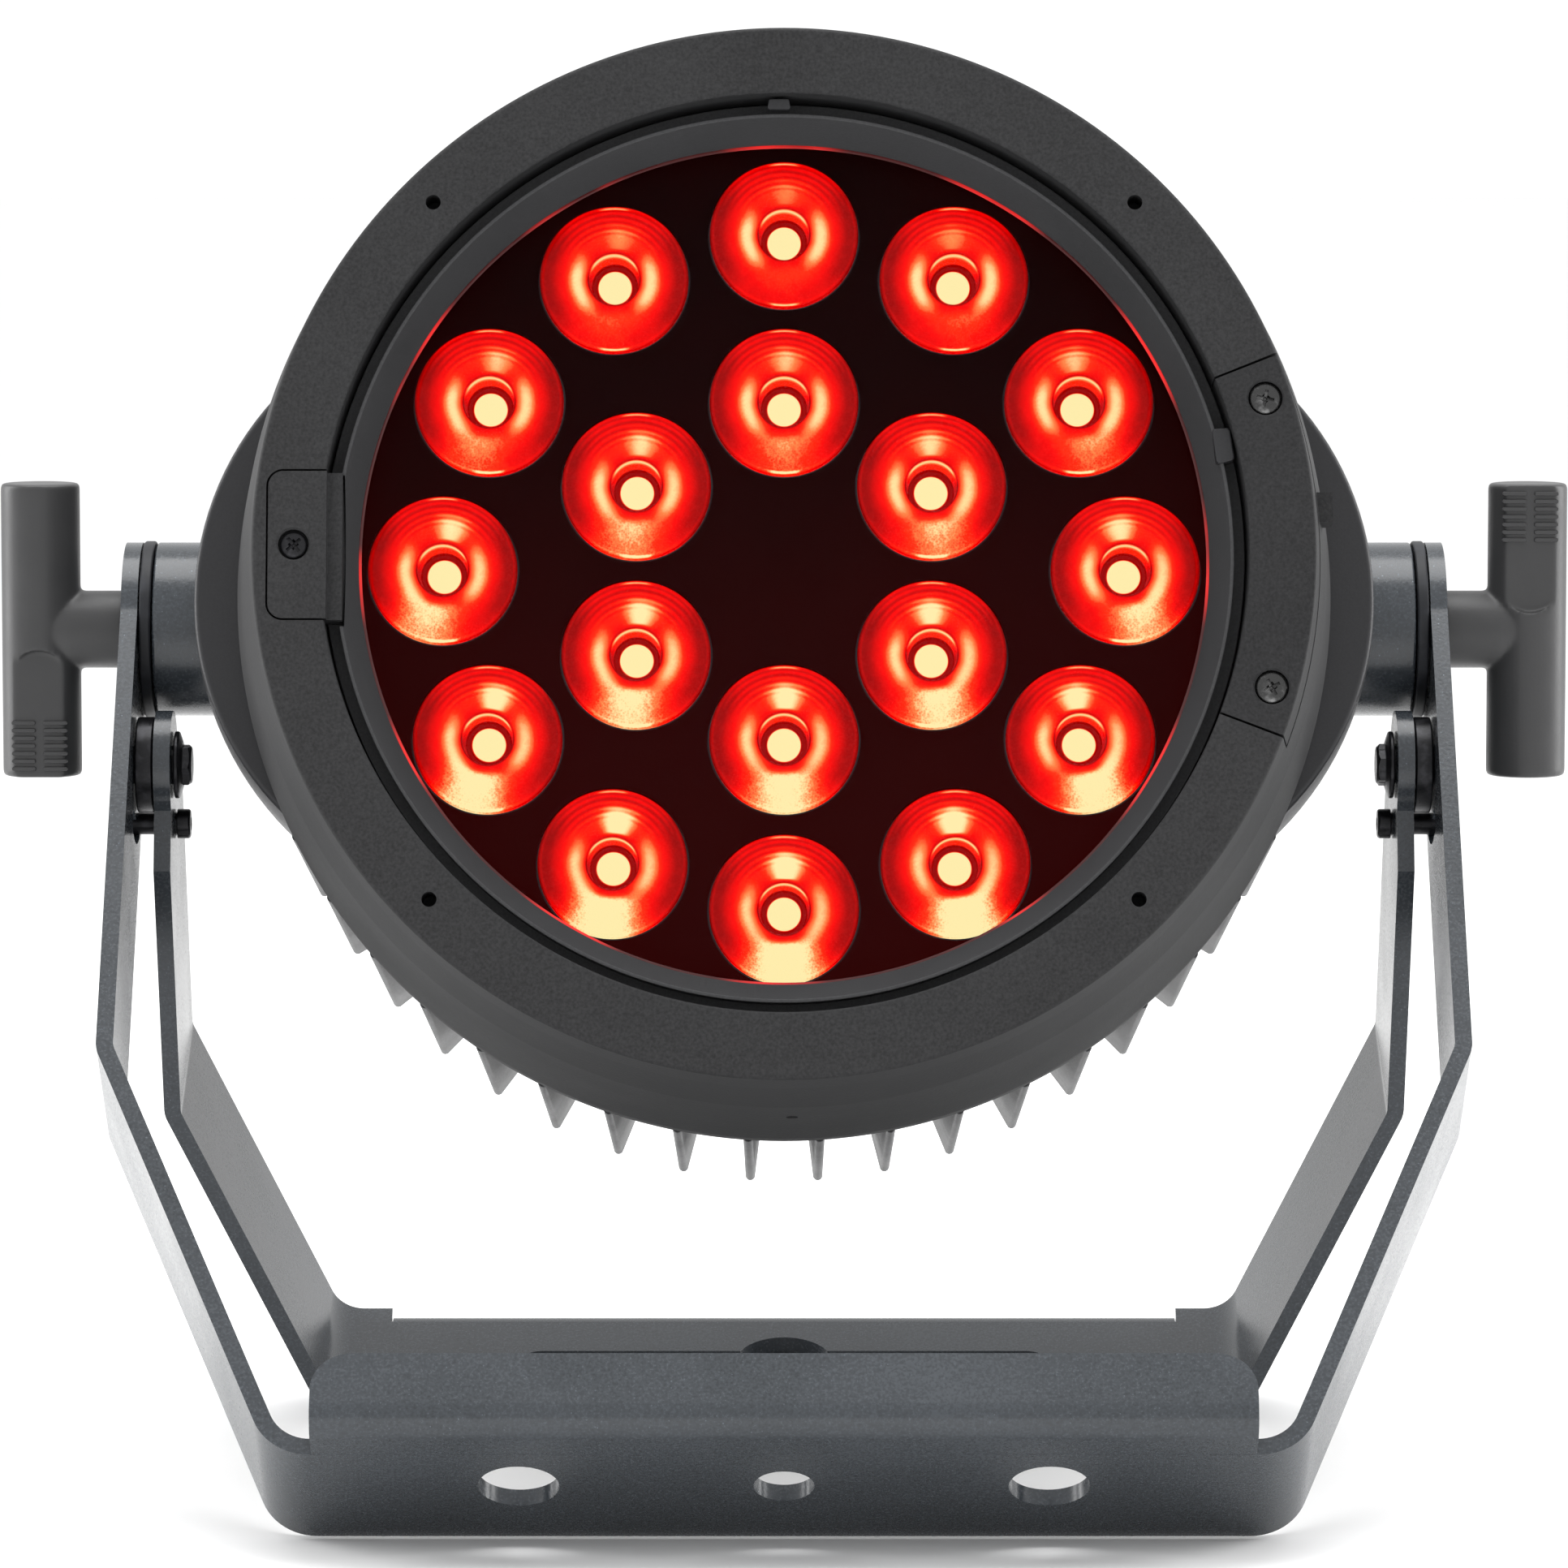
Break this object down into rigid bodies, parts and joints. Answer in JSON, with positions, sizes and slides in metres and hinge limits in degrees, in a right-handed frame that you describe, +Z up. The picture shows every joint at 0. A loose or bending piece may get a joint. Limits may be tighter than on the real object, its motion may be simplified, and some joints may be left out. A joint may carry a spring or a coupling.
{
  "type": "par can light",
  "caption": "Round outdoor LED par can with a finned housing, red-lit lenses behind a front glass, T-handles at the pivots and a double yoke opened as a floor stand.",
  "frame": {"origin": "on the floor at the bottom centre of the object's box", "axes": "+X across the object along the tilt pivot, towards the viewer's right; -Y the way the beam points; +Z up"},
  "size_m": [0.33, 0.2504, 0.2975],
  "materials": {
    "cast_grey": "fine textured paint on cast aluminium",
    "yoke_grey": "textured powder coat with a fine sparkle",
    "handle_grey": "satin moulded plastic",
    "black_steel": "black oxide",
    "screw_steel": "plated steel",
    "black_rubber": "matt rubber",
    "friction_pad": "dense fibre-filled rubber",
    "socket_black": "satin black plastic",
    "shroud_black": "matt black",
    "lens_red": "clear optic lit red",
    "front_glass": "clear, polished",
    "display_smoke": "smoked window",
    "board_white": "white solder mask on a metal core",
    "board_green": "green solder mask",
    "supply_metal": "bent sheet can"
  },
  "bodies": {
    "front_yoke": {"front_yoke": "yoke_grey", "hinge_bolt_left": "black_steel", "hinge_bolt_right": "black_steel", "hinge_spacer_left": "black_steel", "hinge_spacer_right": "black_steel"},
    "rear_yoke": {"rear_yoke": "yoke_grey", "stop_bolt_left": "black_steel", "stop_bolt_right": "black_steel"},
    "head": {"bezel_hatch_left": "cast_grey", "bezel_segment_right": "cast_grey", "control_board": "board_green", "data_inlet": "socket_black", "data_outlet": "socket_black", "display_window": "display_smoke", "friction_disc_left": "friction_pad", "friction_disc_right": "friction_pad", "front_bezel": "cast_grey", "front_glass": "front_glass", "glass_gasket": "black_rubber", "glass_retainer": "cast_grey", "hatch_screw": "screw_steel", "led_board": "board_white", "lens_01": "lens_red", "lens_02": "lens_red", "lens_03": "lens_red", "lens_04": "lens_red", "lens_05": "lens_red", "lens_06": "lens_red", "lens_07": "lens_red", "lens_08": "lens_red", "lens_09": "lens_red", "lens_10": "lens_red", "lens_11": "lens_red", "lens_12": "lens_red", "lens_13": "lens_red", "lens_14": "lens_red", "lens_15": "lens_red", "lens_16": "lens_red", "lens_17": "lens_red", "lens_18": "lens_red", "lens_plate": "shroud_black", "main_housing": "cast_grey", "power_inlet": "socket_black", "power_outlet": "socket_black", "power_supply": "supply_metal", "rear_cover": "cast_grey", "rear_gasket": "black_rubber", "safety_loop": "screw_steel", "segment_screw_lower": "screw_steel", "segment_screw_upper": "screw_steel", "vent_plug": "socket_black"},
    "left_stud": {"stud_left": "screw_steel"},
    "left_handle": {"t_handle_left": "handle_grey"},
    "right_stud": {"stud_right": "screw_steel"},
    "right_handle": {"t_handle_right": "handle_grey"},
    "button_menu": {"button_menu": "black_rubber"},
    "button_up": {"button_up": "black_rubber"},
    "button_down": {"button_down": "black_rubber"},
    "button_enter": {"button_enter": "black_rubber"}
  },
  "joints": [
    {"name": "head_tilt", "type": "hinge", "parent": "front_yoke", "child": "head", "pos_m": [0, 0.02348, 0.17155], "axis": [1, 0, 0], "continuous": true},
    {"name": "rear_yoke_fold", "type": "hinge", "parent": "front_yoke", "child": "rear_yoke", "pos_m": [0, 0.00203, 0.14478], "axis": [1, 0, 0], "range_deg": [-61.7, 0]},
    {"name": "left_stud_feed", "type": "slide", "parent": "head", "child": "left_stud", "axis": [-1, 0, 0], "range_m": [0, 0.00337]},
    {"name": "left_handle_turn", "type": "hinge", "parent": "left_stud", "child": "left_handle", "pos_m": [-0.1567, 0.02348, 0.17155], "axis": [-1, 0, 0], "range_deg": [0, 810.5]},
    {"name": "right_stud_feed", "type": "slide", "parent": "head", "child": "right_stud", "axis": [1, 0, 0], "range_m": [0, 0.00337]},
    {"name": "right_handle_turn", "type": "hinge", "parent": "right_stud", "child": "right_handle", "pos_m": [0.1567, 0.02348, 0.17155], "axis": [1, 0, 0], "range_deg": [0, 810.5]},
    {"name": "button_menu_press", "type": "slide", "parent": "head", "child": "button_menu", "axis": [0, -0.9744, 0.225], "range_m": [0, 0.001], "stiffness_N_per_m": 400},
    {"name": "button_up_press", "type": "slide", "parent": "head", "child": "button_up", "axis": [0, -0.9744, 0.225], "range_m": [0, 0.001], "stiffness_N_per_m": 400},
    {"name": "button_down_press", "type": "slide", "parent": "head", "child": "button_down", "axis": [0, -0.9744, 0.225], "range_m": [0, 0.001], "stiffness_N_per_m": 400},
    {"name": "button_enter_press", "type": "slide", "parent": "head", "child": "button_enter", "axis": [0, -0.9744, 0.225], "range_m": [0, 0.001], "stiffness_N_per_m": 400}
  ],
  "couplings": [
    {"joint": "left_handle_turn", "follows": "left_stud_feed", "rad_per_m": 4188.8},
    {"joint": "right_handle_turn", "follows": "right_stud_feed", "rad_per_m": 4188.8}
  ]
}
